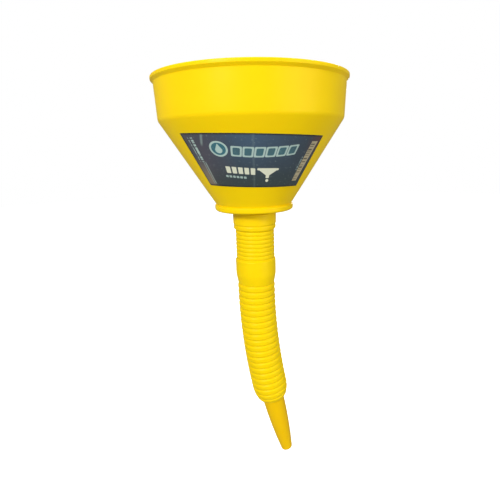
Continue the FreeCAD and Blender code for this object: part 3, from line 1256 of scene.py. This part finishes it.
@dataclass
class Spout:
    """The blow-moulded spout: collar, short bellows, cuff, long bellows and nozzle."""

    collar_top: float = -5.3
    collar_r: float = 19.2
    neck_r: float = 16.66
    groove_z: float = -16.1
    groove_r: float = 18.45
    rib_r: float = 18.85
    rib_z: float = -18.44
    seat_z: float = -17.8
    bead_z: float = -14.5
    bead_deep: float = 0.55
    bead_half: float = 1.06
    wall: float = 1.2
    upper_z: float = -21.3
    upper_count: int = 7
    upper_pitch: float = 3.66
    upper_crest: float = 17.5
    upper_valley: float = 16.95
    upper_narrow: float = 1.9
    cuff_r: float = 18.35
    cuff_foot_r: float = 16.7
    cuff_foot_z: float = -71.2
    cuff_bend: float = -8.95
    cuff_lip: float = 2.4
    cuff_end: float = -1.3
    lower_count: int = 21
    lower_pitch: float = 5.9
    lower_crest: float = 17.2
    lower_depth: float = 0.95
    lower_narrow: float = 2.5
    inner_depth: float = 1.5
    bend: float = math.radians(12.4)
    shoulder: float = 17.0
    nozzle_length: float = 63.5
    root_r: float = 10.7
    root_bore: float = 9.1
    mid_r: float = 9.2
    tip_r: float = 6.0
    outlet_r: float = 3.6
    outlet_deep: float = 9.0
    tip_long: float = 4.0
    seam_high: float = 0.10
    sides: int = 96
    steps: int = 14

    @property
    def length(self) -> float:
        """Length of the long bellows along its bend."""
        return self.lower_count * self.lower_pitch

    def station(self, along: np.ndarray) -> tuple[np.ndarray, np.ndarray]:
        """The spout's middle line: straight, then evenly bent, then straight on.

        Args:
            along: Lengths down the spout from the cuff's foot.

        Returns:
            The points, and the direction there that counts as outwards at 0 degrees.
        """
        radius = self.length / self.bend
        angle = np.clip(along, 0, self.length) / radius
        before, after = np.minimum(along, 0), np.maximum(along - self.length, 0)
        x = radius * (1 - np.cos(angle)) + after * math.sin(self.bend)
        z = self.cuff_foot_z - before - radius * np.sin(angle) - after * math.cos(self.bend)
        outwards = np.stack((np.cos(angle), 0 * angle, np.sin(angle)), 1)
        return np.stack((x, 0 * x, z), 1), outwards

    def down(self, height: float) -> float:
        """Length down the spout of a height above the cuff's foot."""
        return self.cuff_foot_z - height

    def point(self, along: float) -> Vector:
        """The middle line's point at a length, in metres."""
        return Vector(self.station(np.array([along]))[0][0] * MM)

    def seam(self, angle: np.ndarray, along: np.ndarray) -> np.ndarray:
        """The faint raised line that the two mould halves leave on each side.

        Args:
            angle: Angle round the middle line.
            along: Length down the spout, which makes no difference.

        Returns:
            What the radius gains.
        """
        return self.seam_high * np.exp(-((np.sin(angle) / 0.05) ** 2)) + np.zeros_like(along)

    def cuff_outer(self, along: float) -> float:
        """The cuff's radius at a length: plain, then tapering to its foot."""
        share = max(0.0, along - self.cuff_bend) / -self.cuff_bend
        return self.cuff_r - (self.cuff_r - self.cuff_foot_r) * share

    def crest(self, along: float) -> float:
        """Crest radius of the long bellows: even, then rounded in to the nozzle."""
        share = min(1.0, max(0.0, along - self.length + self.shoulder) / self.shoulder)
        drop = self.lower_crest - self.root_r
        return self.root_r + drop * math.sqrt(1 - share * share)

    def bore(self, along: float) -> float:
        """Bore radius of the long bellows, a wall's thickness inside its crests."""
        reach = self.shoulder - self.wall
        share = min(1.0, max(0.0, along - self.length + self.shoulder) / reach)
        drop = self.lower_crest - self.wall - self.root_bore
        return self.root_bore + drop * math.sqrt(1 - share * share)

    def folds(self) -> list[Fold]:
        """Every valley of both bellows, from the collar down."""
        made: list[Fold] = []
        upper = ["collar"] + [f"upper_{n:02d}" for n in range(1, self.upper_count + 1)] + ["grip"]
        for number in range(1, self.upper_count + 2):
            valley = self.down(self.upper_z) + (number - 1) * self.upper_pitch
            first, last = number == 1, number == self.upper_count + 1
            top = self.down(self.rib_z) if first else valley - self.upper_pitch / 2
            foot = valley + (self.cuff_lip if last else self.upper_pitch / 2)
            made.append(
                Fold(
                    f"fold_upper_{number:02d}",
                    upper[number - 1],
                    upper[number],
                    [] if last else [f"upper_bellow_{number:02d}"],
                    top,
                    valley,
                    foot,
                    even(self.rib_r if first else self.upper_crest),
                    even(self.cuff_r if last else self.upper_crest),
                    self.upper_valley,
                    self.upper_narrow,
                    even(self.upper_crest - self.wall),
                )
            )
        lower = ["grip"] + [f"lower_{n:02d}" for n in range(1, self.lower_count + 1)]
        for number in range(1, self.lower_count + 1):
            valley = (number - 1) * self.lower_pitch
            first = number == 1
            made.append(
                Fold(
                    f"fold_lower_{number:02d}",
                    lower[number - 1],
                    lower[number],
                    [f"lower_bellow_{number:02d}"],
                    self.cuff_end if first else valley - self.lower_pitch / 2,
                    valley,
                    valley + self.lower_pitch / 2,
                    self.cuff_outer if first else self.crest,
                    self.crest,
                    self.crest(valley) - self.lower_depth,
                    self.lower_narrow,
                    self.bore,
                )
            )
        return made

    def fold_section(self, fold: Fold) -> np.ndarray:
        """A fold's half section: broad crests, a narrow valley, and an even wall.

        Args:
            fold: The fold.

        Returns:
            Radius and length of its points.
        """
        outer: list[tuple[float, float]] = []
        inner: list[tuple[float, float]] = []
        for side, far, crest in ((-1, fold.top, fold.top_crest), (1, fold.foot, fold.foot_crest)):
            shares = np.linspace(0, 1, self.steps + 1)
            for share in shares[::-1] if side > 0 else shares:
                along = far + (fold.valley - far) * share
                if side > 0 and share == 1:
                    continue
                dip = (1 - math.cos(math.pi * share**fold.narrow)) / 2
                depth = (crest(fold.valley) - fold.valley_r) * dip
                outer.append((crest(along) - depth, along))
                inner.append((fold.bore(along) - min(depth, self.inner_depth), along))
        return np.array(outer + inner[::-1])

    def build_folds(self) -> None:
        """Makes every fold with its finish, in the frame, and hides the nodes that it stands for.
        """
        for fold in self.folds():
            shell = Moulding()
            shell.turned(self.fold_section(fold), self.sides, self.station, self.seam)
            piece = Finish.SPOUT.coat(shell.piece(fold.name))
            self.point(fold.top)
            self.point(fold.foot)
            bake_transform(piece)
            if fold.nodes:
                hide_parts(*fold.nodes)
            log.info("%s bends between %s and %s", fold.name, fold.above, fold.below)

    def build_collar(self) -> None:
        """Makes the collar that turns on the neck, down to the crest of its rib."""
        through = self.upper_crest - self.wall
        corners: list[Corner] = [
            (self.neck_r, self.collar_top, 0.3),
            (self.collar_r, self.collar_top, 0.5),
            (self.collar_r, self.groove_z + 1.1, 0.8),
            (self.groove_r, self.groove_z, 0.6),
            (self.rib_r, self.rib_z + 1.2, 1.0),
            (self.rib_r, self.rib_z, 0.0),
            (through, self.rib_z, 0.0),
            (through, self.seat_z, 0.0),
            (self.neck_r, self.seat_z, 0.0),
            (self.neck_r, self.bead_z - self.bead_half, 0.0),
            (self.neck_r + self.bead_deep, self.bead_z, 0.5),
            (self.neck_r, self.bead_z + self.bead_half, 0.0),
        ]
        shell = Moulding()
        shell.turned(rounded(corners, 2.0), self.sides * 2, swell=self.seam)
        mount(shell.piece("collar_socket"), Finish.SPOUT, "collar", ["spout_collar"])

    def build_cuff(self) -> None:
        """Makes the plain cuff between the two bellows."""
        top = self.down(self.upper_z) + self.upper_count * self.upper_pitch + self.cuff_lip
        foot = self.cuff_end
        corners: list[Corner] = [
            (self.cuff_r, top, 0.0),
            (self.cuff_r, self.cuff_bend, 18.0),
            (self.cuff_outer(foot), foot, 0.0),
            (self.cuff_outer(foot) - self.wall, foot, 0.0),
            (self.cuff_r - 2 * self.wall, self.cuff_bend, 12.0),
            (self.upper_crest - self.wall, top, 0.0),
        ]
        shell = Moulding()
        shell.turned(rounded(corners, 1.6), self.sides, self.station, self.seam)
        mount(shell.piece("grip_cuff"), Finish.SPOUT, "grip", ["cuff"])

    def build_nozzle(self) -> None:
        """Makes the end of the shoulder and the tapered nozzle."""
        start = self.length - self.lower_pitch / 2
        first = math.asin((start - self.length + self.shoulder) / self.shoulder)
        drop = self.lower_crest - self.root_r
        outer = [
            (
                self.root_r + drop * math.cos(angle),
                self.length - self.shoulder * (1 - math.sin(angle)),
            )
            for angle in np.linspace(first, math.pi / 2, 14)
        ]
        inner = [(self.root_bore + 0.05, self.length), (self.bore(start), start)]
        shell = Moulding()
        shell.turned(np.array(outer + inner), self.sides, self.station, self.seam)
        mount(shell.piece("shoulder_end"), Finish.SPOUT, "lower_21", [])
        tip = self.length + self.nozzle_length
        sagitta = self.mid_r - (self.root_r + self.tip_r) / 2
        body: list[Corner] = []
        for share in np.linspace(0, 1, 13):
            bulge = 4 * sagitta * share * (1 - share)
            radius = self.root_r + (self.tip_r - self.root_r) * share + bulge
            along = self.length + (self.nozzle_length - self.tip_long) * share
            body.append((radius, along, 0.0))
        body += [
            (self.tip_r - 0.4, tip, 1.8),
            (self.outlet_r, tip, 0.5),
            (self.outlet_r, tip - self.outlet_deep, 1.0),
            (self.root_bore, self.length, 0.0),
        ]
        shell = Moulding()
        shell.turned(rounded(body, 2.5), self.sides, self.station, self.seam)
        mount(shell.piece("nozzle_taper"), Finish.NOZZLE, "lower_21", ["nozzle"])

    def build(self) -> None:
        """Makes the whole spout."""
        self.build_collar()
        self.build_cuff()
        self.build_folds()
        self.build_nozzle()


# ------------------------------------------------------------------------------- the studio


@dataclass(frozen=True)
class SoftLight:
    """A soft box: where it stands, its size and its power."""

    name: str
    place: tuple[float, float, float]
    size: float
    power: float
    colour: tuple[float, float, float] = (1.0, 1.0, 1.0)


@dataclass
class Studio:
    """Pale floor, soft light and the camera."""

    lens: float = 28.08
    place: tuple[float, float, float] = (0.010548, -0.346108, 0.049299)
    pitch: float = 0.2557
    roll: float = 0.0218
    shift: float = -0.034
    below: float = 0.003
    ahead: float = 0.62
    behind: float = 0.22
    under: float = 0.70
    floor_r: float = 2.5
    floor_thick: float = 0.02
    floor_sides: int = 96
    target: tuple[float, float, float] = (0.0, 0.0, -0.05)
    lights: list[SoftLight] = field(
        default_factory=lambda: [
            SoftLight("key", (-0.66, -1.18, 0.60), 0.30, 13.2),
            SoftLight("fill", (1.05, -0.75, 0.10), 1.1, 5.8),
            SoftLight("top", (0.0, -0.05, 1.30), 0.6, 6.0),
            SoftLight("back", (0.25, 1.25, 0.45), 0.6, 11.0),
        ]
    )

    def build_floor(self, lowest: float) -> None:
        """Lays a plain disc of floor under the object.

        Args:
            lowest: The object's lowest height, in metres.
        """
        level = lowest - self.below
        points = [
            (self.floor_r * math.cos(angle), self.floor_r * math.sin(angle), height)
            for height in (level - self.floor_thick, level)
            for angle in around(self.floor_sides)
        ]
        faces = joined(2, self.floor_sides, ring=False)
        mesh = bpy.data.meshes.new("floor")
        mesh.from_pydata(points, [], faces)
        floor = bpy.data.objects.new("floor", mesh)
        bpy.context.scene.collection.objects.link(floor)
        finish = FloorFinish()
        mesh.materials.append(finished(finish.name, finish.cook))
        floor.visible_diffuse = False
        floor.visible_glossy = False
        floor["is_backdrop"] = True

    def build_lights(self) -> None:
        """Hangs the soft boxes and sets the room's own light."""
        for light in self.lights:
            lamp = bpy.data.lights.new(light.name, "AREA")
            lamp.shape = "DISK"
            lamp.size = light.size
            lamp.energy = light.power
            lamp.color = light.colour
            stand = bpy.data.objects.new(light.name, lamp)
            stand.location = light.place
            aim = Vector(self.target) - Vector(light.place)
            stand.rotation_euler = aim.to_track_quat("-Z", "Y").to_euler()
            bpy.context.scene.collection.objects.link(stand)
        world = bpy.data.worlds.new("room")
        bpy.context.scene.world = world
        world.use_nodes = True
        recipe = Recipe(world.node_tree)
        way = recipe.add("ShaderNodeTexCoord", out="Generated")
        depth = recipe.add("ShaderNodeSeparateXYZ", None, {0: way}, out="Y")
        height = recipe.add("ShaderNodeSeparateXYZ", None, {0: way}, out="Z")
        room = recipe.ramp(depth, 0.9, -0.5) * (self.ahead - self.behind) + self.behind
        room = room * (recipe.ramp(height, -0.7, 0.2) * (1.0 - self.under) + self.under)
        seen = recipe.add("ShaderNodeLightPath", out="Is Camera Ray")
        strength = seen.most(room)
        sky = recipe.add("ShaderNodeBackground", None, {"Color": (1, 1, 1, 1), 1: strength})
        recipe.add("ShaderNodeOutputWorld", None, {"Surface": sky})

    def build_camera(self) -> None:
        """Sets the camera, and a view that keeps the yellow as strong as it is."""
        lens = bpy.data.cameras.new("camera")
        lens.lens = self.lens
        lens.sensor_width = 36.0
        lens.shift_x = self.shift
        lens.clip_start = 0.01
        camera = bpy.data.objects.new("camera", lens)
        turn = Matrix.Rotation(math.pi / 2 - self.pitch, 4, "X")
        turn = turn @ Matrix.Rotation(-self.roll, 4, "Z")
        camera.matrix_world = Matrix.Translation(self.place) @ turn
        bpy.context.scene.collection.objects.link(camera)
        bpy.context.scene.camera = camera
        bpy.context.scene.view_settings.view_transform = "Standard"

    def build(self, lowest: float) -> None:
        """Builds the studio round the object.

        Args:
            lowest: The object's lowest height, in metres.
        """
        self.build_floor(lowest)
        self.build_lights()
        self.build_camera()
        log.info("studio is lit, floor at %.4f m", lowest - self.below)


def main() -> None:
    """Builds every piece in order, then the studio."""
    logging.basicConfig(level=logging.INFO, format="%(name)s: %(message)s")
    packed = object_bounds()
    bowl = Bowl()
    bowl.build()
    Label(bowl).build()
    Strainer().build()
    Spout().build()
    Studio().build(packed[0].z)


if __name__ == "__main__":
    main()
